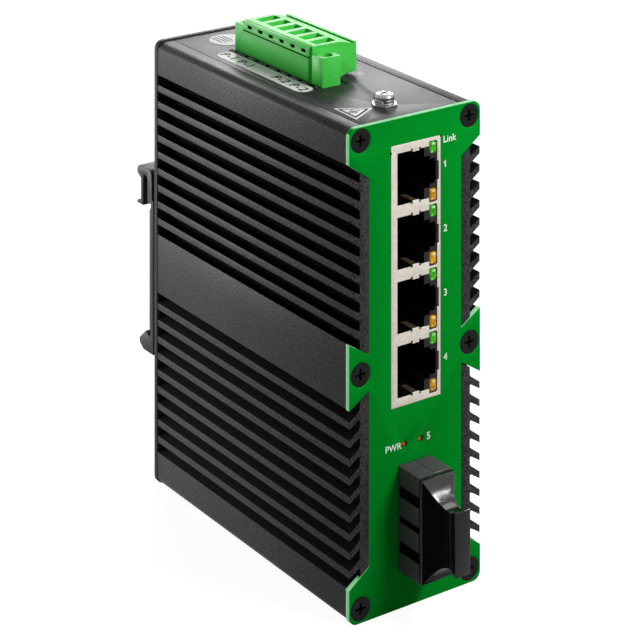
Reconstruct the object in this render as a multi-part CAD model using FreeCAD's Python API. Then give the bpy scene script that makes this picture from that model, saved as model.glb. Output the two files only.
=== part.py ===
import FreeCAD, Part
import math
import os

# Five-port industrial Ethernet switch for a 35 mm DIN rail.
# Frame: X across the case, Y from the faceplate to the rail, Z up.
# The origin is the middle of the case's bottom face.  Millimetres.

V = FreeCAD.Vector

# ---------------------------------------------------------------- case
case_width = 35.9            # faceplate and rear plate, left to right
case_height = 106.7
case_depth = 80.5            # faceplate front to rear plate back
face_thickness = 1.25
rear_thickness = 1.3
plate_corner = 2.0
side_step = 0.1              # the body stands this far inside the plates' edges
top_step = 0.3
fit_gap = 0.05               # sliding and drop-in fits, each side

# ---------------------------------------------------------------- finned extrusions
fin_pitch = 4.0
groove_height = 2.45         # at the outer face
groove_depth = 2.75
groove_root_flat = 0.3       # each root corner is cut back by this much
groove_roof_slope = 35.0     # degrees above the horizontal, in the upper bank
groove_floor_slope = 31.5
bank_margin = 7.9            # case top to the first groove's upper edge
middle_band = 13.5           # least plain wall between the two banks
web_thickness = 3.1          # groove root to the inside face
fin_step = 0.05              # fin ends stand this far behind the faceplate's front
body_corner = 2.0
cover_thickness = 1.2
seam_inset = 4.35            # plate edge to the seam beside a cover
seam_gap = 0.15
tongue_reach = 0.3
tongue_height = 0.65
screw_inset_x = 3.02         # corner screws, from the plates' side edges
screw_inset_z = 3.0          # corner screws, from the plates' ends
channel_radius = 1.5         # screw channels in the extrusions
channel_slot = 1.2

# ---------------------------------------------------------------- screws
m3_shank = 1.45
m3_clearance = 1.5
csk_head_radius = 2.62
csk_seat_radius = 2.8
csk_sink = 0.12              # a head lies this far below its plate's face
plate_screw_length = 8.0
clip_screw_length = 6.2
cross_width = 0.55
cross_span = 2.7
cross_depth = 0.9
cross_taper = 0.55

# ---------------------------------------------------------------- faceplate
notch_depth = 5.35
notch_margin = 0.15          # the notch starts this far above the first groove
notch_overlap = 0.1          # and ends this far above the last groove's lower edge
notch_gap = 0.2              # fin ends to the plate, around each notch
cutout_gap = 0.1

# ---------------------------------------------------------------- main board
board_thickness = 1.6
standoff_length = 3.6
standoff_across = 5.2        # over the flats
standoff_stud_across = 3.6
standoff_stud_length = 1.5
standoff_inset = 6.0         # from the board's rear and lower edges
standoff_drop = 12.2         # upper ones, from the board's top edge
jack_standoff_setback = 13.85  # behind the jack
lamp_standoff_setback = 9.25  # behind the faceplate's front
board_front_gap = 0.8        # behind the faceplate
board_back_gap = 4.15
board_bottom_gap = 5.2
board_top_gap = 2.5
board_corner = 1.0
board_screw_across = 5.0
board_screw_head = 1.8
board_screw_length = 4.0
chip_chamfer = 0.2
chip_shift_y = 3.7           # switch chip, from the board's middle
chip_shift_z = 7.3
switch_chip_side = 14.0
switch_chip_thickness = 1.5
thermal_pad_side = 16.0
lan_length = 7.0
lan_height = 11.0
lan_thickness = 5.5
lan_gap = 2.2                # behind the jack
crystal_length = 11.0
crystal_width = 4.0
crystal_height = 3.5
crystal_corner = 1.7
crystal_setback = 17.3       # from the board's rear edge
crystal_rise = 40.8          # from its lower edge
inductor_side = 10.0
inductor_height = 5.0
inductor_corner = 2.0
inductor_setback = 15.8
inductor_drop = 25.2
capacitor_radius = 4.0
capacitor_height = 10.0
capacitor_spacing = 12.0
capacitor_crimp = 0.3
capacitor_crimp_height = 1.3
capacitor_setback = 10.8
capacitor_rise = 22.8

# ---------------------------------------------------------------- four-port jack
port_pitch = 13.97
port_count = 4
first_port_drop = 13.29      # case top to the first port's centre
jack_width = 13.53
jack_top_margin = 7.52       # first port's centre to the shield's top
jack_bottom_margin = 7.54
jack_depth = 18.0
jack_proud = 0.1             # in front of the faceplate
shield_thickness = 0.3
shield_overlap = 0.12        # the window's edge, outside the cavity
cavity_depth = 13.0
cavity_floor = 1.8           # from the board
cavity_half = 5.7
shoulder_inset = 4.33        # steps of the plug's opening, from the shield's far side
latch_inset = 2.73
key_inset = 1.33
mouth_inset = 0.73
shoulder_half = 3.5
latch_half = 2.75
key_half = 2.03
tab_start = 5.4              # spring tab, from the board
tab_width = 2.7
tab_slit = 0.45
tab_height = 0.35
window_step = 0.43           # window's last step, from the shield's far side
window_gap = 0.07
lamp_inset = 0.98            # jack lamp, from the shield's far side
lamp_width = 1.9
lamp_height = 2.65
lamp_offset = 5.175          # port centre to lamp centre
lamp_depth = 4.0
lamp_proud = 0.15
lamp_corner = 0.35
lamp_window_gap = 0.25
contact_count = 8
contact_pitch = 1.02
contact_width = 0.45
contact_thickness = 0.3
contact_start = 5.0          # behind the shield
contact_flat = 1.5
contact_rise = 2.3

# ---------------------------------------------------------------- duplex fibre module
fibre_foot = 2.08            # board to the nose
fibre_width = 8.86
fibre_height = 22.81
fibre_share = 0.3953         # part of the free height below the jack that lies under the nose
fibre_nose = 7.1             # in front of the faceplate
fibre_length = 33.0          # behind the faceplate's front
fibre_pitch = 11.05
fibre_port_width = 6.6
fibre_port_height = 9.0
fibre_port_depth = 14.0
fibre_swell = 0.4            # the body behind the plate is this much bigger, each side
fibre_seam = 0.08
band_depth = 0.85
band_height = 2.4
band_spacing = 6.0
middle_band_height = 1.45
foot_length = 2.0
foot_inset = 4.0
ferrule_radius = 1.25
ferrule_setback = 4.0
fibre_pin_count = 9
fibre_pin_pitch = 2.54
fibre_pin_side = 0.5
fibre_pin_reach = 0.8        # past the board

# ---------------------------------------------------------------- dust plug
plug_flange = 1.0
plug_gap = 0.25              # flange to the module's nose
plug_reach = 9.6             # flange's back to the grip's end
plug_bar = 1.0
plug_inset = 0.2             # flange ends to the nose's ends
prong_length = 9.0
prong_gap = 0.1
prong_wall = 1.2
waist_height = 12.2
grip_height = 13.8
waist_width = 3.3
grip_width = 3.9

# ---------------------------------------------------------------- panel lamps
lamp_share = 0.3346          # lamp row, as a part of the way from the fibre module to the jack
power_lamp_rise = 3.68       # from the board
panel_lamp_pitch = 4.38
lamp_hole_radius = 0.8
lamp_radius = 0.7
lamp_setback = 0.35
lamp_bevel = 0.25
holder_length = 4.2
holder_half = 1.5
holder_gap = 0.3
holder_wall = 1.0

# ---------------------------------------------------------------- power terminal
pole_count = 6
pole_pitch = 4.45
slot_front = 27.3            # from the faceplate's front
slot_width = 8.15
ear_step = 0.05              # slot's end to the front ear
ear_length = 4.1
ear_gap = 0.75               # front ear to the plug's body, on the left side
plug_cheek = 0.45
rear_ear_length = 3.6
rear_ear_gap = 0.3
plug_rise = 1.0              # slot's left edge to the plug
plug_width = 13.05
plug_height = 8.15
plug_step = 0.65             # the poles' lower side stands out by this much
crown_width = 8.4
slope_drop = 1.05
lip_width = 0.85
lip_height = 0.4
belly_height = 0.55
belly_inset = 2.35
foot_width = 8.7
ear_width = 5.05
ear_height = 6.75
ear_hole_radius = 1.45
ear_hole_depth = 5.55
tongue_depth = 6.6
tongue_gap = 0.1
socket_depth = 7.0
socket_gap = 0.1
wall_inset = 0.7
crown_step = 0.1
well_start = 2.55            # from the plug's left side
well_length = 5.55
well_width = 2.9
well_edge = 0.25
well_drop = 3.4
throat_start = 6.8
throat_depth = 5.2
cage_height = 0.5
test_width = 1.7
test_height = 0.76
test_depth = 1.4
test_drop = 1.3              # below the plug's top
seam_drop = 2.6
seam_depth = 0.3
seam_height = 0.25
wire_screw_height = 3.9
wire_screw_bore = 1.7
wire_screw_radius = 1.6
wire_screw_depth = 2.6
wire_screw_length = 1.6
driver_slot = 0.5
driver_depth = 0.6
header_height = 9.0
header_wall = 1.0
header_sink = 0.25
header_floor = 1.6
header_rib_share = 0.38
header_notch_depth = 0.45
header_notch_height = 1.2
header_lift = 0.7            # header's foot stays below the cover
pin_side = 1.0
pin_rise = 2.7
pin_start = 0.6
pin_length = 6.4
pin_reach = 1.2              # past the board
ear_nut_across = 2.6
ear_nut_height = 5.0
ear_thread_radius = 0.9
ear_screw_clearance = 1.1
ear_head_radius = 1.35
ear_head_height = 2.2
ear_screw_length = 3.5

# ---------------------------------------------------------------- ground screw
ground_x = -1.0
ground_y = 10.25             # from the faceplate's front
ground_hex_across = 5.4
ground_hex_thickness = 0.55
ground_hex_crown = 0.35
ground_washer_radius = 2.35
ground_washer_thickness = 0.35
ground_spring_radius = 2.25
ground_spring_thickness = 0.75
ground_split = 0.6
ground_head_radius = 2.25
ground_head_height = 1.35
ground_screw_length = 5.0
ground_nut_radius = 2.9
ground_nut_height = 2.0

# ---------------------------------------------------------------- rail clip
clip_inset = 0.45            # from the plates' side edges
clip_stand = 1.2             # pad between the rear plate and the clip
clip_strip = 1.9
clip_drop = 23.2             # case middle to the clip's lower end
clip_height = 44.3
clip_screw_inset = 8.5
clip_screw_rise = 19.85
catch_rise = 1.2
catch_reach = 4.6
catch_valley = 1.7
catch_height = 4.9
relief_depth = 0.6
relief_height = 6.2
hook_back = 0.75             # the hook's leg starts this far behind the strip's face
hook_leg = 2.1
rail_slot = 1.9
outer_leg = 1.15
bulge = 1.7
bulge_height = 2.0
hook_wall = 1.8              # above the rail slot
hook_height = 8.1
hook_lead = 1.25
hook_base = 7.05
hook_round = 0.9
pad_inset = 1.5
pad_top_gap = 7.5
pad_bottom_gap = 0.4
pad_corner = 1.0
clip_nut_across = 5.0
clip_nut_stud_across = 3.6
clip_nut_height = 1.5
clip_nut_stud = 1.0
spring_thickness = 0.5
spring_width = 1.1
spring_bow = 1.9
spring_half_length = 15.0

# ---------------------------------------------------------------- places that follow
face_y = -case_depth / 2
rear_y = case_depth / 2
body_front = face_y + face_thickness
body_back = rear_y - rear_thickness
body_side = case_width / 2 - side_step
body_top = case_height - top_step
middle_z = case_height / 2
ledge_z = body_top - cover_thickness
floor_x = body_side - groove_depth
inner_x = floor_x - web_thickness
seam_x = case_width / 2 - seam_inset
screw_x = case_width / 2 - screw_inset_x
screw_rows = (screw_inset_z, middle_z, case_height - screw_inset_z)
roof_rise = math.tan(math.radians(groove_roof_slope))
floor_rise = math.tan(math.radians(groove_floor_slope))
bank_room = middle_z - bank_margin - groove_height - middle_band / 2
grooves_per_bank = int(bank_room / fin_pitch) + 1
groove_tops = [case_height - bank_margin - k * fin_pitch for k in range(grooves_per_bank)]
board_back_x = -inner_x + standoff_length
board_face_x = board_back_x + board_thickness
board_front = body_front + board_front_gap
board_back = body_back - board_back_gap
board_bottom = board_bottom_gap
board_top = case_height - board_top_gap
port_centres = [case_height - first_port_drop - i * port_pitch for i in range(port_count)]
jack_left = board_face_x
jack_right = jack_left + jack_width
jack_top = port_centres[0] + jack_top_margin
jack_bottom = port_centres[-1] - jack_bottom_margin
jack_front = face_y - jack_proud
jack_back = jack_front + jack_depth
shield_back = jack_front + shield_thickness
cavity_left = jack_left + cavity_floor
fibre_left = board_face_x + fibre_foot
fibre_right = fibre_left + fibre_width
fibre_bottom = (jack_bottom - fibre_height) * fibre_share
fibre_top = fibre_bottom + fibre_height
fibre_front = face_y - fibre_nose
fibre_back = face_y + fibre_length
fibre_middle_x = (fibre_left + fibre_right) / 2
fibre_middle_z = (fibre_bottom + fibre_top) / 2
fibre_rows = (fibre_middle_z - fibre_pitch / 2, fibre_middle_z + fibre_pitch / 2)
lamp_z = fibre_top + (jack_bottom - fibre_top) * lamp_share
lamp_right = jack_right - lamp_inset
lamp_left = lamp_right - lamp_width
power_lamp_x = board_face_x + power_lamp_rise
link_lamp_x = power_lamp_x + panel_lamp_pitch
slot_left = board_face_x
slot_right = slot_left + slot_width
plug_left = slot_left + plug_rise
plug_right = plug_left + plug_width
ear_right = plug_left + ear_width
slot_y = face_y + slot_front
ear_y = slot_y + ear_step
ear_neck_y = ear_y + ear_length
plug_y = ear_neck_y + ear_gap
plug_end_y = plug_y + pole_count * pole_pitch + 2 * plug_cheek
ear_end_y = plug_end_y + rear_ear_length
slot_end_y = ear_end_y + rear_ear_gap
pole_rows = [plug_y + plug_cheek + (i + 0.5) * pole_pitch for i in range(pole_count)]
header_top = body_top - header_sink
header_bottom = header_top - header_height
pin_x = plug_left + pin_rise
clip_half_width = case_width / 2 - clip_inset
clip_bottom = middle_z - clip_drop
clip_top = clip_bottom + clip_height
clip_screw_x = clip_half_width - clip_screw_inset
clip_screw_z = clip_bottom + clip_screw_rise
clip_base_y = rear_y + clip_stand
strip_y = clip_base_y + clip_strip
rail_slot_y = clip_base_y + hook_back + hook_leg
FORWARD = V(0, -1, 0)
BACKWARD = V(0, 1, 0)
UP = V(0, 0, 1)
DOWN = V(0, 0, -1)


# ================================================================ drawing helpers
def rounded_wire(corners, place):
    """Closed wire through (a, b, radius) corners; place(a, b) gives the 3-D point."""
    starts, ends, middles = [], [], []
    count = len(corners)
    for i, corner in enumerate(corners):
        radius = corner[2] if len(corner) > 2 else 0.0
        here = V(corner[0], corner[1], 0)
        before = V(corners[i - 1][0], corners[i - 1][1], 0) - here
        after = V(corners[(i + 1) % count][0], corners[(i + 1) % count][1], 0) - here
        before.normalize()
        after.normalize()
        if radius <= 0:
            starts.append(here)
            ends.append(here)
            middles.append(None)
            continue
        half = before.getAngle(after) / 2
        inward = before + after
        inward.normalize()
        reach = radius / math.tan(half)
        starts.append(here + before * reach)
        ends.append(here + after * reach)
        middles.append(here + inward * (radius / math.sin(half) - radius))
    edges = []
    for i in range(count):
        if middles[i] is not None:
            arc = [place(p.x, p.y) for p in (starts[i], middles[i], ends[i])]
            edges.append(Part.Arc(*arc).toShape())
        follow = (i + 1) % count
        if (starts[follow] - ends[i]).Length > 1e-6:
            line = [place(p.x, p.y) for p in (ends[i], starts[follow])]
            edges.append(Part.LineSegment(*line).toShape())
    return Part.Wire(Part.__sortEdges__(edges))


def across(corners, y0, y1):
    """Solid with an X-Z section, from y0 to y1."""
    face = Part.Face(rounded_wire(corners, lambda a, b: V(a, y0, b)))
    return face.extrude(V(0, y1 - y0, 0))


def along_x(corners, x0, x1):
    """Solid with a Y-Z section, from x0 to x1."""
    face = Part.Face(rounded_wire(corners, lambda a, b: V(x0, a, b)))
    return face.extrude(V(x1 - x0, 0, 0))


def box(x0, x1, y0, y1, z0, z1):
    return Part.makeBox(x1 - x0, y1 - y0, z1 - z0, V(x0, y0, z0))


def bar(x0, x1, y, z, length, height):
    """Box from x0 to x1, centred on (y, z)."""
    return box(x0, x1, y - length / 2, y + length / 2, z - height / 2, z + height / 2)


def rod(radius, start, end):
    direction = end - start
    return Part.makeCylinder(radius, direction.Length, start, direction)


def rectangle(a0, a1, b0, b1, radius=0.0):
    return [(a0, b0, radius), (a1, b0, radius), (a1, b1, radius), (a0, b1, radius)]


def clipped_rectangle(a0, a1, b0, b1, cut):
    """Rectangle with its four corners cut off at 45 degrees."""
    return [(a0 + cut, b0), (a1 - cut, b0), (a1, b0 + cut), (a1, b1 - cut),
            (a1 - cut, b1), (a0 + cut, b1), (a0, b1 - cut), (a0, b0 + cut)]


def spun(profile, centre, axis):
    """Solid of revolution; profile is (radius, height) from centre along axis."""
    points = [V(r, 0, h) for r, h in profile]
    face = Part.Face(Part.makePolygon(points + points[:1]))
    solid = face.revolve(V(0, 0, 0), V(0, 0, 1), 360)
    solid.Placement = FreeCAD.Placement(centre, FreeCAD.Rotation(V(0, 0, 1), axis))
    return solid


def mirrored(shape):
    return shape.mirror(V(0, 0, 0), V(1, 0, 0))


def mirrored_up(shape):
    return shape.mirror(V(0, 0, middle_z), V(0, 0, 1))


def joined(shapes):
    return shapes[0].multiFuse(shapes[1:]) if len(shapes) > 1 else shapes[0]


# ================================================================ screws and nuts
def cross_recess(centre, axis, turn):
    """Tapered cross-shaped pocket, driven inwards along axis."""
    wide, thin = cross_span / 2, cross_width / 2
    outline = [(wide, -thin), (wide, thin), (thin, thin), (thin, wide), (-thin, wide), (-thin, thin),
               (-wide, thin), (-wide, -thin), (-thin, -thin), (-thin, -wide), (thin, -wide), (thin, -thin)]
    outline.append(outline[0])
    top = Part.makePolygon([V(a, b, 0) for a, b in outline])
    bottom = Part.makePolygon([V(a * cross_taper, b * cross_taper, cross_depth) for a, b in outline])
    pocket = Part.makeLoft([top, bottom], True, True)
    spin = FreeCAD.Rotation(V(0, 0, 1), turn)
    pocket.Placement = FreeCAD.Placement(centre, FreeCAD.Rotation(V(0, 0, 1), axis).multiply(spin))
    return pocket


def countersunk_screw(centre, axis, length, turn=0.0):
    """Flat-head screw; centre is on the plate's face and axis points into the plate."""
    cone = csk_head_radius - m3_shank
    profile = [(0, csk_sink), (csk_head_radius, csk_sink), (m3_shank, csk_sink + cone),
               (m3_shank, length), (0, length)]
    return spun(profile, centre, axis).cut(cross_recess(centre + axis * csk_sink, axis, turn))


def countersunk_hole(centre, axis, thickness):
    """45 degree seat that opens from centre, then a clearance hole right through."""
    out = 1.0
    profile = [(0, -out), (csk_seat_radius + out, -out), (m3_clearance, csk_seat_radius - m3_clearance),
               (m3_clearance, thickness + csk_seat_radius), (0, thickness + csk_seat_radius)]
    return spun(profile, centre, axis)


def hex_prism(across_flats, centre, axis, length):
    radius = across_flats / 2 / math.cos(math.pi / 6)
    turns = [k * math.pi / 3 for k in range(7)]
    points = [V(radius * math.cos(t), radius * math.sin(t), 0) for t in turns]
    prism = Part.Face(Part.makePolygon(points)).extrude(V(0, 0, length))
    prism.Placement = FreeCAD.Placement(centre, FreeCAD.Rotation(V(0, 0, 1), axis))
    return prism


def ring(outer, inner, centre, axis, thickness):
    return spun([(inner, 0), (outer, 0), (outer, thickness), (inner, thickness)], centre, axis)


# ================================================================ case
def upper_heatsink():
    """Upper half of the right-hand extrusion, with one bank of slanted grooves."""
    tongue_x = seam_x + tongue_reach + fit_gap
    tongue_z = ledge_z + tongue_height + fit_gap
    upper = [(inner_x, middle_z), (inner_x, ledge_z), (tongue_x, ledge_z), (tongue_x, tongue_z),
             (seam_x, tongue_z), (seam_x, body_top), (body_side, body_top, body_corner),
             (body_side, middle_z)]
    solid = across(upper, face_y + fin_step, body_back)
    outside = 1.0
    flat = groove_root_flat
    grooves = []
    for top in groove_tops:
        bottom = top - groove_height
        root_bottom = bottom - groove_depth * floor_rise
        root_top = top - groove_depth * roof_rise
        groove = [(floor_x, root_bottom + flat), (floor_x + flat, root_bottom + flat * floor_rise),
                  (body_side + outside, bottom + outside * floor_rise),
                  (body_side + outside, top + outside * roof_rise),
                  (floor_x + flat, root_top + flat * roof_rise), (floor_x, root_top - flat / 2)]
        grooves.append(across(groove, face_y - 1, body_back + 1))
    return solid.cut(joined(grooves))


def right_heatsink():
    """Finned wall with three screw channels, its front end relieved for the faceplate."""
    upper = upper_heatsink()
    body = upper.fuse(mirrored_up(upper)).removeSplitter()
    for z in screw_rows:
        channel = rod(channel_radius, V(screw_x, face_y, z), V(screw_x, rear_y, z))
        slot = box(inner_x - 1, screw_x, face_y, rear_y, z - channel_slot / 2, z + channel_slot / 2)
        body = body.cut(channel.fuse(slot))
    return body.cut(across(faceplate_outline(notch_gap), face_y - 1, body_front))


def standoff_places():
    """(y, z) of the five stand-offs: two near the board's top, two near its foot, one behind the lamps."""
    rear = board_back - standoff_inset
    low = board_bottom + standoff_inset
    high = board_top - standoff_drop
    between = (fibre_top + jack_bottom) / 2
    return [(jack_back + jack_standoff_setback, high), (rear, high), ((fibre_back + board_back) / 2, low),
            (rear, low), (face_y + lamp_standoff_setback, between)]


def standoff_studs():
    return [hex_prism(standoff_stud_across, V(-inner_x, y, z), V(-1, 0, 0), standoff_stud_length)
            for y, z in standoff_places()]


def left_heatsink():
    return mirrored(right_heatsink()).cut(joined(standoff_studs()))


def cover_blank():
    """Flat cover with a tongue along each side."""
    edge = seam_x - seam_gap
    lip = seam_x + tongue_reach
    shoulder = ledge_z + tongue_height
    outline = [(-lip, ledge_z), (lip, ledge_z), (lip, shoulder), (edge, shoulder), (edge, body_top),
               (-edge, body_top), (-edge, shoulder), (-lip, shoulder)]
    return across(outline, body_front, body_back)


def top_cover():
    slot = box(slot_left, slot_right, slot_y, slot_end_y, ledge_z - 1, body_top + 1)
    hole = rod(m3_clearance, ground_point(-cover_thickness - 1), ground_point(1))
    return cover_blank().cut(slot).cut(hole)


def bottom_cover():
    return mirrored_up(cover_blank())


def faceplate_outline(grow=0.0):
    """Rounded plate with a slanted notch on each side of each fin bank; grow narrows the notches."""
    half = case_width / 2
    inner = half - notch_depth + grow
    depth = half - inner
    top = groove_tops[0] + notch_margin - grow * math.hypot(1, roof_rise)
    bottom = groove_tops[-1] - groove_height + notch_overlap + grow * math.hypot(1, floor_rise)
    right = [(half, bottom), (inner, bottom - depth * floor_rise), (inner, top - depth * roof_rise),
             (half, top), (half, case_height, plate_corner)]
    left = [(-a, b, *rest) for a, b, *rest in reversed(right)]
    upper = right + left
    lower = [(a, case_height - b, *rest) for a, b, *rest in reversed(upper)]
    return upper + lower


def plate_screw_places(y):
    return [V(x, y, z) for x in (-screw_x, screw_x) for z in screw_rows]


def faceplate():
    cuts = [countersunk_hole(p, BACKWARD, face_thickness) for p in plate_screw_places(face_y)]
    gap = cutout_gap
    y0, y1 = face_y - 1, body_front + 1
    cuts.append(box(jack_left - gap, jack_right + gap, y0, y1, jack_bottom - gap, jack_top + gap))
    cuts.append(box(fibre_left - gap, fibre_right + gap, y0, y1, fibre_bottom - gap, fibre_top + gap))
    for x in (power_lamp_x, link_lamp_x):
        cuts.append(rod(lamp_hole_radius, V(x, y0, lamp_z), V(x, y1, lamp_z)))
    return across(faceplate_outline(), face_y, body_front).cut(joined(cuts))


def rear_plate():
    half = case_width / 2
    cuts = [countersunk_hole(p, FORWARD, rear_thickness) for p in plate_screw_places(rear_y)]
    inside = clip_screw_places(body_back - 1)
    cuts += [hex_prism(clip_nut_stud_across, p, BACKWARD, rear_thickness + 2) for p in inside]
    return across(rectangle(-half, half, 0, case_height, plate_corner), body_back, rear_y).cut(joined(cuts))


def faceplate_screws():
    places = plate_screw_places(face_y)
    return Part.makeCompound([countersunk_screw(p, BACKWARD, plate_screw_length) for p in places])


def rear_plate_screws():
    places = plate_screw_places(rear_y)
    return Part.makeCompound([countersunk_screw(p, FORWARD, plate_screw_length) for p in places])


# ================================================================ rail clip
def clip_section():
    """Y-Z outline: hook with a rail slot at the top, strip, and catch with a V seat below."""
    leg_in = clip_base_y + hook_back
    slot_out = rail_slot_y + rail_slot
    leg_out = slot_out + outer_leg
    outer = leg_out + bulge
    hook_foot = clip_top - hook_height
    lead = hook_foot - hook_lead
    roof = clip_top - hook_wall
    catch = clip_bottom + catch_height
    return [
        (clip_base_y, clip_bottom), (strip_y + catch_reach - bulge, clip_bottom, 1.2),
        (strip_y + catch_reach, clip_bottom + catch_rise, 1.1),
        (strip_y + catch_reach, clip_bottom + 2 * catch_rise), (strip_y + catch_valley, catch),
        (strip_y, catch - catch_rise), (strip_y - relief_depth, catch),
        (strip_y, clip_bottom + relief_height), (strip_y, lead - relief_depth / 2),
        (strip_y - relief_depth, lead + relief_depth / 2), (strip_y - relief_depth, hook_foot),
        (rail_slot_y, hook_foot), (rail_slot_y, roof, hook_round), (slot_out, roof, hook_round),
        (slot_out, lead), (outer, lead), (outer, hook_foot - hook_lead / 2), (leg_out, hook_foot),
        (leg_out, roof - hook_lead), (outer, clip_top - bulge_height), (outer, clip_top, 1.3),
        (leg_in, clip_top, 1.3), (leg_in, clip_top - hook_base), (clip_base_y, clip_top - hook_base)]


def clip_screw_places(y):
    return [V(-clip_screw_x, y, clip_screw_z), V(clip_screw_x, y, clip_screw_z)]


def din_clip():
    clip = along_x(clip_section(), -clip_half_width, clip_half_width)
    return clip.cut(joined([countersunk_hole(p, FORWARD, clip_strip) for p in clip_screw_places(strip_y)]))


def clip_pad():
    half = clip_half_width - pad_inset
    outline = rectangle(-half, half, clip_bottom + pad_bottom_gap, clip_top - pad_top_gap, pad_corner)
    through = V(0, clip_stand + 2, 0)
    holes = [rod(m3_clearance, p, p + through) for p in clip_screw_places(rear_y - 1)]
    for x in (-screw_x, screw_x):
        start = V(x, rear_y - 1, middle_z)
        holes.append(rod(csk_seat_radius + cutout_gap, start, start + through))
    return across(outline, rear_y, clip_base_y).cut(joined(holes))


def clip_screws():
    places = clip_screw_places(strip_y)
    return Part.makeCompound([countersunk_screw(p, FORWARD, clip_screw_length) for p in places])


def clip_nuts():
    """Two six-sided clinch nuts pressed into the rear plate from inside."""
    nuts = []
    for p in clip_screw_places(body_back):
        body = hex_prism(clip_nut_across, p, FORWARD, clip_nut_height)
        stud = hex_prism(clip_nut_stud_across, p, BACKWARD, clip_nut_stud)
        bore = rod(m3_shank + fit_gap, p - V(0, clip_nut_height + 1, 0), p + V(0, clip_nut_stud + 1, 0))
        nuts.append(body.fuse(stud).cut(bore))
    return Part.makeCompound(nuts)


def rail_spring():
    """Bowed steel strip in the hook's slot; it pushes the rail down onto the catch."""
    y = rail_slot_y + rail_slot / 2
    half_strip = spring_width / 2
    arch = hook_round - math.sqrt(hook_round ** 2 - half_strip ** 2)
    high = clip_top - hook_wall - arch
    radius = (spring_half_length ** 2 + spring_bow ** 2) / (2 * spring_bow)
    centre = V(0, y - half_strip, high - spring_bow - spring_thickness + radius)
    hoop = ring(radius, radius - spring_thickness, centre, BACKWARD, spring_width)
    middle = box(-spring_half_length, spring_half_length, y - 2, y + 2, high - 2 * spring_bow, high)
    return hoop.common(middle)


# ================================================================ main board
def main_board():
    board = along_x(rectangle(board_front, board_back, board_bottom, board_top, board_corner),
                    board_back_x, board_face_x)
    start, end = board_back_x - 1, board_face_x + 1
    holes = [rod(m3_clearance, V(start, y, z), V(end, y, z)) for y, z in standoff_places()]
    return board.cut(joined(holes)).cut(header_pins()).cut(fibre_pins())


def board_standoffs():
    """Five six-sided stand-offs, their studs pressed into the left extrusion's wall."""
    bore_end = board_face_x - board_screw_length - fit_gap
    posts = []
    for place, stud in zip(standoff_places(), standoff_studs()):
        y, z = place
        post = hex_prism(standoff_across, V(-inner_x, y, z), V(1, 0, 0), standoff_length)
        bore = rod(m3_shank + fit_gap, V(bore_end, y, z), V(board_face_x, y, z))
        posts.append(post.fuse(stud).cut(bore))
    return Part.makeCompound(posts)


def board_screws():
    screws = []
    for y, z in standoff_places():
        head = hex_prism(board_screw_across, V(board_face_x, y, z), V(1, 0, 0), board_screw_head)
        shank = rod(m3_shank, V(board_face_x - board_screw_length, y, z), V(board_face_x, y, z))
        screws.append(head.fuse(shank))
    return Part.makeCompound(screws)


def on_board(y, z, length, height, thickness):
    """Block standing on the component side, centred on (y, z)."""
    return bar(board_face_x, board_face_x + thickness, y, z, length, height)


def chip_centre():
    return (board_front + board_back) / 2 + chip_shift_y, (board_bottom + board_top) / 2 + chip_shift_z


def switch_chip():
    y, z = chip_centre()
    body = on_board(y, z, switch_chip_side, switch_chip_side, switch_chip_thickness)
    return body.makeChamfer(chip_chamfer, body.Edges[4:8])


def thermal_pad():
    y, z = chip_centre()
    return bar(-inner_x, board_back_x, y, z, thermal_pad_side, thermal_pad_side)


def lan_transformers():
    y = jack_back + lan_gap + lan_length / 2
    return Part.makeCompound([on_board(y, z, lan_length, lan_height, lan_thickness) for z in port_centres])


def crystal():
    y = board_back - crystal_setback
    z = board_bottom + crystal_rise
    half_y, half_z = crystal_length / 2, crystal_width / 2
    outline = rectangle(y - half_y, y + half_y, z - half_z, z + half_z, crystal_corner)
    return along_x(outline, board_face_x, board_face_x + crystal_height)


def power_inductor():
    y = board_back - inductor_setback
    z = board_top - inductor_drop
    half = inductor_side / 2
    outline = clipped_rectangle(y - half, y + half, z - half, z + half, inductor_corner)
    return along_x(outline, board_face_x, board_face_x + inductor_height)


def power_capacitors():
    """Two cans, each with a rolled groove near its foot."""
    r, c, h = capacitor_radius, capacitor_crimp, capacitor_crimp_height
    top = capacitor_height
    profile = [(0, 0), (r, 0), (r, h - c), (r - c, h), (r, h + c), (r, top), (0, top)]
    z = board_bottom + capacitor_rise
    cans = []
    for k in range(2):
        y = board_back - capacitor_setback - k * capacitor_spacing
        cans.append(spun(profile, V(board_face_x, y, z), V(1, 0, 0)))
    return Part.makeCompound(cans)


# ================================================================ four-port jack
def both_ways(upper, centre):
    """Closed outline from its upper half, mirrored about the port's centre."""
    lower = [(a, -b) for a, b in reversed(upper)]
    return [(a, centre + b) for a, b in upper + lower]


def window_corners(centre):
    """Shield window of one port, with its spring-tab notches and lamp corners."""
    half = cavity_half
    tab0 = jack_left + tab_start
    tab1 = tab0 + tab_width
    inside, outside = half - tab_height, half + tab_height
    window_left = lamp_left - lamp_window_gap
    window_right = lamp_right + cutout_gap
    window_top = lamp_offset + lamp_height / 2 + lamp_window_gap
    key_top = key_half + window_gap
    upper = [(cavity_left - shield_overlap, half), (tab0, half), (tab0, outside),
             (tab0 + tab_slit, outside), (tab0 + tab_slit, inside), (tab1 - tab_slit, inside),
             (tab1 - tab_slit, outside), (tab1, outside), (tab1, half), (window_left, half),
             (window_left, window_top), (window_right - lamp_corner, window_top),
             (window_right, window_top - lamp_corner), (window_right, key_top),
             (jack_right - window_step, key_top)]
    return both_ways(upper, centre)


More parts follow.
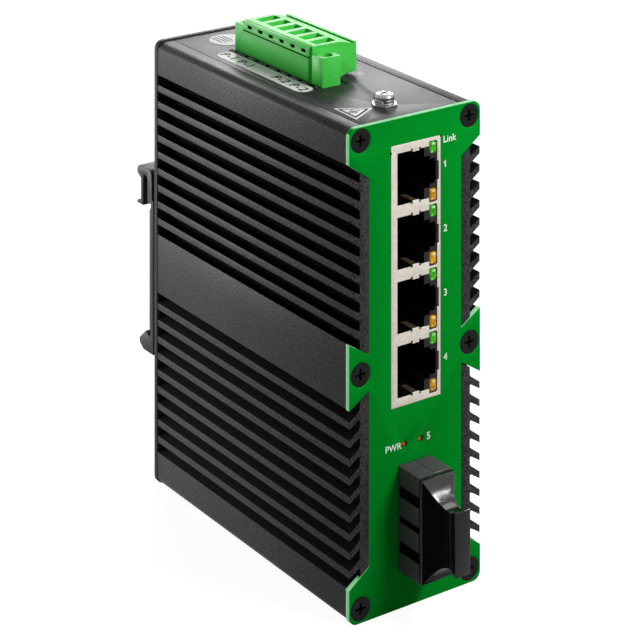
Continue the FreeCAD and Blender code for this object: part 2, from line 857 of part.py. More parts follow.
def jack_shield():
    """Tin box, open towards the board, with four windows and a broad strip along its left edge."""
    wall = shield_thickness
    outer = box(jack_left, jack_right, jack_front, jack_back, jack_bottom, jack_top)
    low, high = jack_bottom + wall, jack_top - wall
    inner = box(jack_left - 1, jack_right - wall, shield_back, jack_back - wall, low, high)
    strip = box(jack_left, cavity_left - shield_overlap, jack_front, shield_back, jack_bottom, jack_top)
    shell = outer.cut(inner).fuse(strip).removeSplitter()
    return shell.cut(joined([across(window_corners(z), jack_front - 1, shield_back) for z in port_centres]))


def cavity_corners(centre):
    """Stepped opening of one port: plug body, its shoulders and the latch."""
    steps = ((shoulder_inset, cavity_half, shoulder_half), (latch_inset, shoulder_half, latch_half),
             (key_inset, latch_half, key_half))
    upper = [(cavity_left, cavity_half)]
    for inset, before, after in steps:
        upper += [(jack_right - inset, before), (jack_right - inset, after)]
    upper.append((jack_right - mouth_inset, key_half))
    return both_ways(upper, centre)


def lamp_outline(z, grow=0.0):
    """Outline of one jack lamp, or of its pocket."""
    half = lamp_height / 2 + grow
    return clipped_rectangle(lamp_left - grow, lamp_right + grow, z - half, z + half, lamp_corner)


def jack_body():
    wall = shield_thickness
    low, high = jack_bottom + wall, jack_top - wall
    body = box(jack_left, jack_right - wall, shield_back, jack_back - wall, low, high)
    cuts = [across(cavity_corners(z), jack_front, shield_back + cavity_depth) for z in port_centres]
    for z in port_centres:
        for offset in (-lamp_offset, lamp_offset):
            cuts.append(across(lamp_outline(z + offset, fit_gap), jack_front, shield_back + lamp_depth))
    return body.cut(joined(cuts))


def contact_strip(z):
    """One spring contact: flat on the cavity floor, then rising to the back wall."""
    front = shield_back + contact_start
    bend = front + contact_flat
    back = shield_back + cavity_depth
    low = cavity_left
    thick = contact_thickness
    section = [(front, low), (bend, low), (back, low + contact_rise), (back, low + contact_rise + thick),
               (bend, low + thick), (front, low + thick)]
    points = [V(b, a, z - contact_width / 2) for a, b in section]
    return Part.Face(Part.makePolygon(points + points[:1])).extrude(V(0, 0, contact_width))


def jack_contacts():
    first = -(contact_count - 1) / 2
    return Part.makeCompound([contact_strip(z + (first + k) * contact_pitch)
                              for z in port_centres for k in range(contact_count)])


def jack_lamps(side):
    """One lens for each port, above its middle (side 1) or below it (side -1)."""
    return Part.makeCompound([across(lamp_outline(z + side * lamp_offset), shield_back - lamp_proud,
                                     shield_back + lamp_depth) for z in port_centres])


# ================================================================ duplex fibre module
def fibre_housing():
    """Whole housing: nose with three grooves each side, wider body behind, feet on the board."""
    swell = fibre_swell
    joint = body_front + cutout_gap
    nose = box(fibre_left, fibre_right, fibre_front, joint, fibre_bottom, fibre_top)
    low, high = fibre_bottom - swell, fibre_top + swell
    body = box(fibre_left - swell, fibre_right + swell, joint, fibre_back, low, high)
    bands = ((band_spacing, band_height), (0.0, middle_band_height), (-band_spacing, band_height))
    cuts = []
    for centre, height in bands:
        z = fibre_middle_z + centre
        for x in (fibre_left, fibre_right):
            cuts.append(box(x - band_depth, x + band_depth, fibre_front - 1, face_y - fit_gap,
                            z - height / 2, z + height / 2))
    half_x, half_z = fibre_port_width / 2, fibre_port_height / 2
    for z in fibre_rows:
        cuts.append(box(fibre_middle_x - half_x, fibre_middle_x + half_x, fibre_front - 1,
                        fibre_front + fibre_port_depth, z - half_z, z + half_z))
    feet = [box(board_face_x, fibre_left - swell, y, y + foot_length, fibre_bottom, fibre_top)
            for y in (body_front + foot_inset, fibre_back - foot_inset)]
    return joined([nose, body] + feet).removeSplitter().cut(joined(cuts))


def fibre_base():
    """The half that stands on the board."""
    keep = box(board_face_x - 1, fibre_middle_x - fibre_seam / 2, -case_depth, case_depth, 0, case_height)
    return fibre_housing().common(keep)


def fibre_cover():
    keep = box(fibre_middle_x + fibre_seam / 2, case_width, -case_depth, case_depth, 0, case_height)
    return fibre_housing().common(keep)


def fibre_ferrules():
    x = fibre_middle_x
    start, end = fibre_front + ferrule_setback, fibre_front + fibre_port_depth
    return Part.makeCompound([rod(ferrule_radius, V(x, start, z), V(x, end, z)) for z in fibre_rows])


def fibre_pins():
    y = fibre_back - foot_inset + foot_length + 2 * fibre_pin_side
    x0, x1 = board_back_x - fibre_pin_reach, fibre_left - fibre_swell
    pins = []
    for k in range(fibre_pin_count):
        z = fibre_middle_z + (k - (fibre_pin_count - 1) / 2) * fibre_pin_pitch
        pins.append(bar(x0, x1, y, z, fibre_pin_side, fibre_pin_side))
    return Part.makeCompound(pins)


def waist_face(place, front, end, root, neck, tip):
    """Face between two hollow curves: wide at the flange, waisted, flared to the end bar."""
    waist = front + (end - front) * 0.62
    edges = []
    for sign in (1, -1):
        points = [place(front, sign * root),
                  place(front + (waist - front) * 0.45, sign * (neck + (root - neck) * 0.33)),
                  place(waist, sign * neck), place(end + plug_bar, sign * (neck + tip) / 2),
                  place(end + plug_bar * 0.6, sign * tip)]
        curve = Part.BSplineCurve()
        curve.interpolate(points)
        edges.append(curve.toShape())
        edges.append(Part.LineSegment(points[-1], place(end, sign * tip)).toShape())
    edges.append(Part.LineSegment(place(front, root), place(front, -root)).toShape())
    edges.append(Part.LineSegment(place(end, tip), place(end, -tip)).toShape())
    return Part.Face(Part.Wire(Part.__sortEdges__(edges)))


def dust_plug():
    """Cap for both fibre ports: flange, two hollow prongs and a grip waisted two ways."""
    back = fibre_front - plug_gap
    front = back - plug_flange
    end = back - plug_reach
    half_x = fibre_width / 2
    half_z = fibre_height / 2 - plug_inset
    cx, cz = fibre_middle_x, fibre_middle_z
    flange = box(cx - half_x, cx + half_x, front, back, cz - half_z, cz + half_z)
    side = waist_face(lambda a, b: V(cx - half_x, a, cz + b), front, end,
                      half_z, waist_height / 2, grip_height / 2)
    plan = waist_face(lambda a, b: V(cx + b, a, cz - half_z), front, end,
                      half_x, waist_width / 2, grip_width / 2)
    grip = side.extrude(V(2 * half_x, 0, 0)).common(plan.extrude(V(0, 0, 2 * half_z)))
    wide = fibre_port_width / 2 - prong_gap
    tall = fibre_port_height / 2 - prong_gap
    tip = back + plug_gap + prong_length
    prongs, hollows = [], []
    for z in fibre_rows:
        prongs.append(box(cx - wide, cx + wide, back, tip, z - tall, z + tall))
        hollows.append(box(cx - wide + prong_wall, cx + wide - prong_wall, back + prong_wall, tip + 1,
                           z - tall + prong_wall, z + tall - prong_wall))
    return joined([flange, grip] + prongs).removeSplitter().cut(joined(hollows))


# ================================================================ panel lamps
def lamp_holder():
    back = body_front + holder_gap + holder_length
    holder = box(board_face_x, link_lamp_x + holder_half, body_front + holder_gap, back,
                 lamp_z - holder_half, lamp_z + holder_half)
    bores = [rod(lamp_radius + fit_gap, V(x, body_front, lamp_z), V(x, back - holder_wall, lamp_z))
             for x in (power_lamp_x, link_lamp_x)]
    return holder.cut(joined(bores))


def panel_lamp(x):
    front = face_y + lamp_setback
    length = body_front + holder_gap + holder_length - holder_wall - front
    profile = [(0, 0), (lamp_radius - lamp_bevel, 0), (lamp_radius, lamp_bevel),
               (lamp_radius, length), (0, length)]
    return spun(profile, V(x, front, lamp_z), BACKWARD)


# ================================================================ power terminal
def ear_places(z):
    x = plug_left + ear_width / 2
    return [V(x, (ear_y + ear_neck_y) / 2, z), V(x, (plug_end_y + ear_end_y) / 2 + ear_step, z)]


def terminal_header():
    """Socket under the top cover, notched along its left edge, with six pins and two nuts in it."""
    x0, x1 = slot_left + fit_gap, slot_right - fit_gap
    y0, y1 = slot_y + cutout_gap, slot_end_y - cutout_gap
    block = box(x0, x1, y0, y1, header_bottom, header_top)
    foot = box(board_face_x, x1, y0, y1, header_bottom, ledge_z - header_lift)
    cuts = [box(plug_left + tongue_gap, slot_right - header_wall - tongue_gap, plug_y - 3 * tongue_gap,
                plug_end_y + 3 * tongue_gap, header_bottom + header_floor, header_top + 1)]
    notch = pole_pitch * (1 - header_rib_share)
    for y in pole_rows:
        cuts.append(bar(x0 - 1, x0 + header_notch_depth, y, header_top, notch, 2 * header_notch_height))
    cuts += [hex_prism(ear_nut_across, p, DOWN, ear_nut_height) for p in ear_places(header_top)]
    return block.fuse(foot).removeSplitter().cut(joined(cuts)).cut(header_pins())


def header_nuts():
    nuts = []
    for p in ear_places(header_top):
        bore = rod(ear_thread_radius + fit_gap, p + UP, p - V(0, 0, ear_nut_height + 1))
        nuts.append(hex_prism(ear_nut_across, p, DOWN, ear_nut_height).cut(bore))
    return Part.makeCompound(nuts)


def header_pins():
    """Six square pins, each bent from the board up into the plug."""
    half = pin_side / 2
    low = header_bottom + pin_start
    pins = []
    for y in pole_rows:
        up = box(pin_x - half, pin_x + half, y - half, y + half, low, low + pin_length)
        foot = bar(board_back_x - pin_reach, pin_x - half, y, low + half, pin_side, pin_side)
        pins.append(up.fuse(foot).removeSplitter())
    return Part.makeCompound(pins)


def plug_section():
    """X-Z outline of the plug's body: flat left side, sloping screw side with a raised lip."""
    z = body_top
    crown = z + plug_height
    slope_end = crown - slope_drop
    lip_left = plug_right - lip_width
    return [(plug_left + plug_step, z), (plug_left + plug_step, crown), (plug_left + crown_width, crown),
            (lip_left, slope_end), (lip_left, slope_end + lip_height), (plug_right, slope_end + lip_height),
            (plug_right, z + belly_height, 0.5), (plug_right - belly_inset, z + belly_height),
            (plug_left + foot_width, z)]


def well(y):
    """Wire funnel: floor falling to the right, then a deep throat over the clamp."""
    z = body_top + plug_height
    half = well_width / 2
    left = plug_left + well_start
    throat = plug_left + throat_start
    right = left + well_length
    section = [(left, z + 1), (left, z - well_edge), (throat, z - well_drop), (throat, z - throat_depth),
               (right, z - throat_depth), (right, z + 1)]
    return across(section, y - half, y + half)


def terminal_plug():
    """Six-pole plug with a screw ear at each end; its tongue reaches down into the header."""
    z = body_top
    body = across(plug_section(), plug_y, plug_end_y)
    groove_z = z + plug_height - seam_drop
    crown = z + plug_height - crown_step
    wall = box(plug_left, plug_left + plug_step, plug_y + wall_inset, plug_end_y, z, crown)
    seam = box(plug_left - 1, plug_left + seam_depth, plug_y, plug_end_y + 1, groove_z, groove_z + seam_height)
    ears = [box(plug_left, ear_right, ear_y, ear_neck_y, z, z + ear_height),
            box(plug_left + plug_step, ear_right, ear_neck_y, plug_y, z, z + ear_height),
            box(plug_left, ear_right, plug_end_y, ear_end_y, z, z + ear_height)]
    inset = 2 * tongue_gap
    tongue = box(plug_left + inset, slot_right - header_wall - inset, plug_y - inset, plug_end_y + inset,
                 z - tongue_depth, z)
    cuts = []
    for p in ear_places(z):
        cuts.append(rod(ear_hole_radius, p + UP * (ear_height - ear_hole_depth), p + UP * (ear_height + 1)))
        cuts.append(rod(ear_screw_clearance, p - UP, p + UP * (ear_height - ear_hole_depth + 1)))
    half_socket = pin_side / 2 + socket_gap
    test_z = z + plug_height - test_drop
    screw_z = z + wire_screw_height
    bore_start = plug_right - wire_screw_depth
    for y in pole_rows:
        cuts.append(well(y))
        cuts.append(bar(plug_left - 1, plug_left + test_depth, y, test_z, test_width, test_height))
        cuts.append(rod(wire_screw_bore, V(bore_start, y, screw_z), V(plug_right + 1, y, screw_z)))
        cuts.append(box(pin_x - half_socket, pin_x + half_socket, y - half_socket, y + half_socket,
                        z - socket_depth, z - pin_side))
    solid = joined([body, wall.cut(seam), tongue] + ears).removeSplitter()
    return solid.cut(joined(cuts))


def clamp_screws():
    """Slotted wire screws, one to a pole, facing right."""
    z = body_top + wire_screw_height
    start = plug_right - wire_screw_depth
    end = start + wire_screw_length
    screws = []
    for y in pole_rows:
        head = rod(wire_screw_radius, V(start, y, z), V(end, y, z))
        slot = box(end - driver_depth, end + 1, y - 2, y + 2, z - driver_slot / 2, z + driver_slot / 2)
        screws.append(head.cut(slot))
    return Part.makeCompound(screws)


def clamp_cages():
    z = body_top + plug_height - throat_depth
    half = well_width / 2
    left = plug_left + throat_start
    right = plug_left + well_start + well_length
    return Part.makeCompound([box(left, right, y - half, y + half, z, z + cage_height) for y in pole_rows])


def ear_screws():
    """Two slotted screws that hold the plug's ears down to the header."""
    screws = []
    for p in ear_places(body_top + ear_height - ear_hole_depth):
        head = rod(ear_head_radius, p, p + UP * ear_head_height)
        slot_z = p.z + ear_head_height - driver_depth
        slot = box(p.x - 2, p.x + 2, p.y - driver_slot / 2, p.y + driver_slot / 2, slot_z, slot_z + 1)
        shank = rod(ear_thread_radius, p - UP * (ear_screw_length + ear_height - ear_hole_depth), p)
        screws.append(head.cut(slot).fuse(shank))
    return Part.makeCompound(screws)


# ================================================================ ground screw
def ground_point(height):
    return V(ground_x, face_y + ground_y, body_top + height)


def ground_hex():
    """Six-sided plate with its upper corners turned off."""
    plate = hex_prism(ground_hex_across, ground_point(0), UP, ground_hex_thickness)
    flat, thick = ground_hex_across / 2, ground_hex_thickness
    wide = flat + ground_hex_crown + 0.5
    cone = spun([(0, 0), (wide, 0), (wide, thick - ground_hex_crown), (flat, thick), (0, thick)],
                ground_point(0), UP)
    return plate.common(cone).cut(rod(m3_clearance, ground_point(-1), ground_point(2)))


def ground_washer():
    place = ground_point(ground_hex_thickness)
    return ring(ground_washer_radius, m3_clearance, place, UP, ground_washer_thickness)


def ground_spring_washer():
    """Ring with a slanted split."""
    base = ground_hex_thickness + ground_washer_thickness
    body = ring(ground_spring_radius, m3_clearance, ground_point(base), UP, ground_spring_thickness)
    reach = 2 * ground_spring_radius
    split = box(-ground_split / 2, ground_split / 2, 0, reach, -1, reach)
    slant = FreeCAD.Rotation(V(0, 0, 1), 150).multiply(FreeCAD.Rotation(V(0, 1, 0), 35))
    split.Placement = FreeCAD.Placement(ground_point(base), slant)
    return body.cut(split)


def ground_screw():
    """Pan-head screw through the washers and the cover into the nut."""
    base = ground_hex_thickness + ground_washer_thickness + ground_spring_thickness
    r, h = ground_head_radius, ground_head_height
    profile = [(0, 0), (r, 0), (r, h * 0.5), (r * 0.85, h * 0.85), (r * 0.6, h), (0, h)]
    head = spun(profile, ground_point(base), UP).cut(cross_recess(ground_point(base + h), DOWN, 20))
    return head.fuse(rod(m3_shank, ground_point(-ground_screw_length), ground_point(base))).removeSplitter()


def ground_nut():
    """Clinch nut under the top cover."""
    place = ground_point(-cover_thickness)
    return ring(ground_nut_radius, m3_shank + fit_gap, place, DOWN, ground_nut_height)


# ================================================================ files
parts = {
    "left_heatsink": left_heatsink, "right_heatsink": right_heatsink,
    "top_cover": top_cover, "bottom_cover": bottom_cover,
    "faceplate": faceplate, "rear_plate": rear_plate,
    "faceplate_screws": faceplate_screws, "rear_plate_screws": rear_plate_screws,
    "din_clip": din_clip, "clip_pad": clip_pad, "clip_screws": clip_screws, "clip_nuts": clip_nuts,
    "rail_spring": rail_spring,
    "main_board": main_board, "board_standoffs": board_standoffs, "board_screws": board_screws,
    "switch_chip": switch_chip, "thermal_pad": thermal_pad, "lan_transformers": lan_transformers,
    "crystal": crystal, "power_inductor": power_inductor, "power_capacitors": power_capacitors,
    "jack_shield": jack_shield, "jack_body": jack_body, "jack_contacts": jack_contacts,
    "green_lamps": lambda: jack_lamps(1), "amber_lamps": lambda: jack_lamps(-1),
    "fibre_base": fibre_base, "fibre_cover": fibre_cover, "fibre_ferrules": fibre_ferrules,
    "fibre_pins": fibre_pins, "dust_plug": dust_plug,
    "lamp_holder": lamp_holder, "power_lamp": lambda: panel_lamp(power_lamp_x),
    "link_lamp": lambda: panel_lamp(link_lamp_x),
    "terminal_header": terminal_header, "header_pins": header_pins, "header_nuts": header_nuts,
    "terminal_plug": terminal_plug, "clamp_screws": clamp_screws, "clamp_cages": clamp_cages,
    "ear_screws": ear_screws,
    "ground_hex": ground_hex, "ground_washer": ground_washer, "ground_spring_washer": ground_spring_washer,
    "ground_screw": ground_screw, "ground_nut": ground_nut,
}

os.makedirs("parts", exist_ok=True)
for name, make in parts.items():
    make().exportStep("parts/" + name + ".step")
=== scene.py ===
import math

import bmesh
import bpy
from mathutils import Matrix, Vector


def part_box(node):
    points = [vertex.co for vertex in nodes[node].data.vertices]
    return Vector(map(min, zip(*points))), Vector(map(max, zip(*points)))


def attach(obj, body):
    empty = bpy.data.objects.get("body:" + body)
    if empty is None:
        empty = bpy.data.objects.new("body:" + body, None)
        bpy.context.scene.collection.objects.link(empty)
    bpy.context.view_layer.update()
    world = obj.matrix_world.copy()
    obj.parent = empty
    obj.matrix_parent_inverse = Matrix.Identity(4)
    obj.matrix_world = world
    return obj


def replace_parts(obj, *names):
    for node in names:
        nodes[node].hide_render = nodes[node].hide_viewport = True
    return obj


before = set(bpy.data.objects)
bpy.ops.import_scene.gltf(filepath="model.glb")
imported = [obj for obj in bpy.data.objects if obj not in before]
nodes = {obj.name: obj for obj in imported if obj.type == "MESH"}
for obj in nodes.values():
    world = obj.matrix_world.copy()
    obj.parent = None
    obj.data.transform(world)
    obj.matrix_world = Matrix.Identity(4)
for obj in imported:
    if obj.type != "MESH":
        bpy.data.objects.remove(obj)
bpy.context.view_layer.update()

scene = bpy.context.scene

# ---------------------------------------------------------------- Camera
# A view camera kept level with its lens board dropped, so uprights stay parallel.
# It stands in front of the ports, to their left and well above them.
camera_turn = math.radians(35.076)
camera_drop = 0.40517
camera_look = Vector((math.sin(camera_turn), math.cos(camera_turn), 0))
camera_right = Vector((math.cos(camera_turn), -math.sin(camera_turn), 0))
camera_back = (Vector((0, 0, camera_drop)) - camera_look).normalized()
camera_place = Vector((-0.32602, -0.46804, 0.27954))
camera_data = bpy.data.cameras.new("camera")
camera_data.sensor_width = 36
camera_data.lens = 149.2
camera_data.clip_start = 0.01
camera_data.clip_end = 50
camera = bpy.data.objects.new("camera", camera_data)
camera_stand = bpy.data.objects.new("camera_stand", None)
scene.collection.objects.link(camera)
scene.collection.objects.link(camera_stand)
lens_board = Matrix.Identity(4)
for row in range(3):
    lens_board[row][0] = camera_right[row]
    lens_board[row][1] = (0, 0, 1)[row]
    lens_board[row][2] = camera_back[row]
    lens_board[row][3] = camera_place[row]
camera.parent = camera_stand
camera.matrix_parent_inverse = lens_board
scene.camera = camera

# ---------------------------------------------------------------- Table and lights
# A wide white table in a plain white room, with four soft boxes: a large one behind the
# right side, and smaller ones low behind the left side, close to the front and high on the
# right.
scene.view_settings.view_transform = "Standard"

table_mesh = bmesh.new()
bmesh.ops.create_grid(table_mesh, x_segments=1, y_segments=1, size=6)
table_data = bpy.data.meshes.new("table")
table_mesh.to_mesh(table_data)
table_mesh.free()
table = bpy.data.objects.new("table", table_data)
scene.collection.objects.link(table)

table_white = (0.20, 0.20, 0.20, 1)
table_lift = 0.92  # the table's own glow, which only straight rays see
room_fill = 0.28  # the room's light on things; straight rays see it as plain white
white_table = bpy.data.materials.new("white_table")
white_table.use_nodes = True
tree = white_table.node_tree
shader = tree.nodes["Principled BSDF"]
shader.inputs["Base Color"].default_value = table_white
shader.inputs["Roughness"].default_value = 0.95
shader.inputs["Specular IOR Level"].default_value = 0.0
shader.inputs["Emission Color"].default_value = (1, 1, 1, 1)


def straight_rays(tree):
    """1 for rays from the camera, a mirror or clear glass, 0 for the light that falls on things."""
    path = tree.nodes.new("ShaderNodeLightPath")
    mirror = tree.nodes.new("ShaderNodeMath")
    mirror.operation = "MAXIMUM"
    glass = tree.nodes.new("ShaderNodeMath")
    glass.operation = "MAXIMUM"
    tree.links.new(path.outputs["Is Camera Ray"], mirror.inputs[0])
    tree.links.new(path.outputs["Is Glossy Ray"], mirror.inputs[1])
    tree.links.new(mirror.outputs[0], glass.inputs[0])
    tree.links.new(path.outputs["Is Transmission Ray"], glass.inputs[1])
    return glass.outputs[0]


lift = tree.nodes.new("ShaderNodeMath")
lift.operation = "MULTIPLY"
lift.inputs[1].default_value = table_lift
tree.links.new(straight_rays(tree), lift.inputs[0])
tree.links.new(lift.outputs[0], shader.inputs["Emission Strength"])
table_data.materials.append(white_table)

room = bpy.data.worlds.new("white_room")
scene.world = room
room.use_nodes = True
tree = room.node_tree
background = tree.nodes["Background"]
background.inputs["Color"].default_value = (1, 1, 1, 1)
strength = tree.nodes.new("ShaderNodeMapRange")
strength.inputs["To Min"].default_value = room_fill
strength.inputs["To Max"].default_value = 1.0
tree.links.new(straight_rays(tree), strength.inputs["Value"])
tree.links.new(strength.outputs["Result"], background.inputs["Strength"])


def soft_box(name, place, aim, width, height, power):
    """A soft box of the given width and height at place, facing aim."""
    lamp = bpy.data.lights.new(name, "AREA")
    lamp.shape = "RECTANGLE"
    lamp.size = width
    lamp.size_y = height
    lamp.energy = power
    lamp_object = bpy.data.objects.new(name, lamp)
    lamp_object.location = place
    lamp_object.rotation_euler = (Vector(aim) - Vector(place)).to_track_quat("-Z", "Y").to_euler()
    scene.collection.objects.link(lamp_object)


soft_box("rear_box", (0.75, 1.05, 0.60), (0, 0, 0.1), 0.8, 0.5, 10.5)
soft_box("left_box", (-0.30, 0.42, 0.05), (-0.018, 0.03, 0.07), 0.2, 0.16, 2.5)
soft_box("front_box", (0.10, -0.20, 0.24), (0, -0.04, 0.09), 0.1, 0.1, 0.63)
soft_box("top_box", (0.33, 0.02, 0.62), (0, -0.03, 0.06), 0.3, 0.2, 0.5)

# ---------------------------------------------------------------- Finned case sides
# Two aluminium extrusions with slanted cooling grooves, sawn to length and powder coated
# a fine-grained black. They carry the plates' screws in channels down their whole length.


def grain_group():
    """Fine grain: a bump height, light flecks and a slow drift over the surface."""
    group = bpy.data.node_groups.new("fine_grain", "ShaderNodeTree")
    sockets = group.interface
    sockets.new_socket("Grain size", in_out="INPUT", socket_type="NodeSocketFloat")
    sockets.new_socket("Drift size", in_out="INPUT", socket_type="NodeSocketFloat")
    sockets.new_socket("Height", in_out="OUTPUT", socket_type="NodeSocketFloat")
    sockets.new_socket("Fleck", in_out="OUTPUT", socket_type="NodeSocketFloat")
    sockets.new_socket("Drift", in_out="OUTPUT", socket_type="NodeSocketFloat")
    inside, outside = group.nodes.new("NodeGroupInput"), group.nodes.new("NodeGroupOutput")
    place = group.nodes.new("ShaderNodeTexCoord")
    grain = group.nodes.new("ShaderNodeTexNoise")
    grain.inputs["Detail"].default_value = 3
    group.links.new(place.outputs["Object"], grain.inputs["Vector"])
    group.links.new(inside.outputs["Grain size"], grain.inputs["Scale"])
    group.links.new(grain.outputs["Fac"], outside.inputs["Height"])
    fleck = group.nodes.new("ShaderNodeMapRange")
    fleck.inputs["From Min"].default_value = 0.35
    fleck.inputs["From Max"].default_value = 0.7
    group.links.new(grain.outputs["Fac"], fleck.inputs["Value"])
    group.links.new(fleck.outputs["Result"], outside.inputs["Fleck"])
    drift = group.nodes.new("ShaderNodeTexNoise")
    drift.inputs["Detail"].default_value = 2
    group.links.new(place.outputs["Object"], drift.inputs["Vector"])
    group.links.new(inside.outputs["Drift size"], drift.inputs["Scale"])
    group.links.new(drift.outputs["Fac"], outside.inputs["Drift"])
    return group


fine_grain = grain_group()


def streak_group():
    """Long faint lines left by drawing, moulding or polishing; Stretch is small along them."""
    group = bpy.data.node_groups.new("long_streaks", "ShaderNodeTree")
    sockets = group.interface
    sockets.new_socket("Stretch", in_out="INPUT", socket_type="NodeSocketVector")
    sockets.new_socket("Streak", in_out="OUTPUT", socket_type="NodeSocketFloat")
    inside, outside = group.nodes.new("NodeGroupInput"), group.nodes.new("NodeGroupOutput")
    place = group.nodes.new("ShaderNodeTexCoord")
    drawn = group.nodes.new("ShaderNodeVectorMath")
    drawn.operation = "MULTIPLY"
    group.links.new(place.outputs["Object"], drawn.inputs[0])
    group.links.new(inside.outputs["Stretch"], drawn.inputs[1])
    lines = group.nodes.new("ShaderNodeTexNoise")
    lines.inputs["Scale"].default_value = 1.0
    lines.inputs["Detail"].default_value = 2
    group.links.new(drawn.outputs["Vector"], lines.inputs["Vector"])
    group.links.new(lines.outputs["Fac"], outside.inputs["Streak"])
    return group


long_streaks = streak_group()


def finish(name, dark, light, rough, grain=2500.0, drift=60.0, bump=0.0, metal=0.0, spread=0.06,
           specular=0.5, coat=0.0, streaks=None):
    """A finish that flecks from dark to light; its roughness drifts by spread, with the streaks added."""
    material = bpy.data.materials.new(name)
    material.use_nodes = True
    tree = material.node_tree
    shader = tree.nodes["Principled BSDF"]
    shader.inputs["Metallic"].default_value = metal
    shader.inputs["Specular IOR Level"].default_value = specular
    shader.inputs["Coat Weight"].default_value = coat
    shader.inputs["Coat Roughness"].default_value = 0.08
    texture = tree.nodes.new("ShaderNodeGroup")
    texture.node_tree = fine_grain
    texture.inputs["Grain size"].default_value = grain
    texture.inputs["Drift size"].default_value = drift
    colour = tree.nodes.new("ShaderNodeMix")
    colour.data_type = "RGBA"  # its colours are inputs 6 and 7 and output 2
    colour.inputs[6].default_value = (*dark, 1)
    colour.inputs[7].default_value = (*light, 1)
    tree.links.new(texture.outputs["Fleck"], colour.inputs["Factor"])
    tree.links.new(colour.outputs[2], shader.inputs["Base Color"])
    roughness = tree.nodes.new("ShaderNodeMapRange")
    roughness.inputs["From Min"].default_value = 0.3
    roughness.inputs["From Max"].default_value = 0.7
    roughness.inputs["To Min"].default_value = rough - spread
    roughness.inputs["To Max"].default_value = rough + spread
    varied = texture.outputs["Drift"]
    if streaks:
        lines = tree.nodes.new("ShaderNodeGroup")
        lines.node_tree = long_streaks
        lines.inputs["Stretch"].default_value = streaks
        both = tree.nodes.new("ShaderNodeMix")  # of plain numbers: inputs 2 and 3, output 0
        both.inputs["Factor"].default_value = 0.6
        tree.links.new(texture.outputs["Drift"], both.inputs[2])
        tree.links.new(lines.outputs["Streak"], both.inputs[3])
        varied = both.outputs[0]
    tree.links.new(varied, roughness.inputs["Value"])
    tree.links.new(roughness.outputs["Result"], shader.inputs["Roughness"])
    if bump > 0:
        relief = tree.nodes.new("ShaderNodeBump")
        relief.inputs["Strength"].default_value = 1.0
        relief.inputs["Distance"].default_value = bump
        tree.links.new(texture.outputs["Height"], relief.inputs["Height"])
        tree.links.new(relief.outputs["Normal"], shader.inputs["Normal"])
    return material


def settle(name, work, materials, smooth=35):
    """Turns a finished mesh into a piece that rides on the case; edges sharper than smooth stay crisp."""
    data = bpy.data.meshes.new(name)
    work.to_mesh(data)
    work.free()
    for face in data.polygons:
        face.use_smooth = True
    data.set_sharp_from_angle(angle=math.radians(smooth))
    for material in materials:
        data.materials.append(material)
    piece = bpy.data.objects.new(name, data)
    scene.collection.objects.link(piece)
    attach(piece, "root")
    return piece


weld_distance = 2e-6
flat_angle = math.radians(1.0)


def joined_mesh(node):
    """The CAD piece's triangles, merged and with its flat faces whole again."""
    work = bmesh.new()
    work.from_mesh(nodes[node].data)
    bmesh.ops.remove_doubles(work, verts=work.verts, dist=weld_distance)
    bmesh.ops.dissolve_limit(work, angle_limit=flat_angle, verts=work.verts, edges=work.edges)
    return work


def ease_edges(work, edge, segments=2, smooth=35):
    """Breaks every edge sharper than smooth."""
    sharp = [e for e in work.edges if e.is_manifold and e.calc_face_angle(0) > math.radians(smooth)]
    bmesh.ops.bevel(work, geom=sharp, offset=edge, offset_type="OFFSET", affect="EDGES", segments=segments,
                    profile=0.5, material=-1, clamp_overlap=True)


def eased(node, material, edge, segments=2, smooth=35, others=(), chosen=None):
    """A copy of a CAD piece with its edges broken, standing for it; chosen numbers each face's finish."""
    work = joined_mesh(node)
    ease_edges(work, edge, segments, smooth)
    materials = [material, *others]
    if others:
        work.normal_update()
        for face in work.faces:
            face.material_index = int(chosen(face.calc_center_median(), face.normal))
    piece = settle(node + "_eased", work, materials, smooth)
    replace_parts(piece, node)
    return piece


def wear(node, material):
    """Gives a CAD piece its finish."""
    data = nodes[node].data
    if not data.materials:
        data.materials.append(material)
    for place in range(len(data.materials)):
        data.materials[place] = material


powder_coat = finish("black_powder_coat", (0.006, 0.006, 0.0062), (0.058, 0.058, 0.059), 0.48, grain=2400, drift=40,
                     bump=0.00009, specular=0.11)
# The grooves get a darker, duller copy of the coat: painted shade.
groove_shade_coat = finish("groove_shade_coat", (0.0008, 0.0008, 0.0008), (0.005, 0.005, 0.005), 0.6, grain=2400, drift=40,
                   bump=0.00004, specular=0.02)
cover_coat = finish("cover_coat", (0.006, 0.006, 0.006), (0.036, 0.036, 0.0365), 0.42, grain=2400, drift=30,
                    bump=0.00006, specular=0.11)
groove_root, groove_mouth = 0.0128, 0.01738
lowest_groove, highest_groove = 0.0025, 0.1025
corner_start = 0.1035
corner_lean, end_lean = 0.3, 0.5  # a lean is the share of a face's direction along one axis


def coat_and_groove_shade(centre, normal):
    """1 in the grooves, drawn in a darker, duller coat as painted shade, 2 on the smooth corners beside the cover."""
    if centre.z > corner_start and normal.z > corner_lean:
        return 2
    in_groove_shade = groove_root < abs(centre.x) < groove_mouth and lowest_groove < centre.z < highest_groove
    return in_groove_shade and abs(normal.y) < end_lean


for node in ("left_heatsink", "right_heatsink"):
    eased(node, powder_coat, 0.00012, others=[groove_shade_coat, cover_coat], chosen=coat_and_groove_shade)

# ---------------------------------------------------------------- Top and bottom covers
# Aluminium sheets slid into grooves between the two extrusions, coated a smoother, semi-gloss
# black. The top one is slotted for the power terminal and drilled for the ground screw.
for node in ("top_cover", "bottom_cover"):
    eased(node, cover_coat, 0.0001)

# ---------------------------------------------------------------- Rear plate
# Laser-cut aluminium in the same black coat as the sides, a little bigger than the body,
# so that its edge stands out as a thin lip. Six countersunk screws hold it.
eased("rear_plate", powder_coat, 0.0003, segments=3)
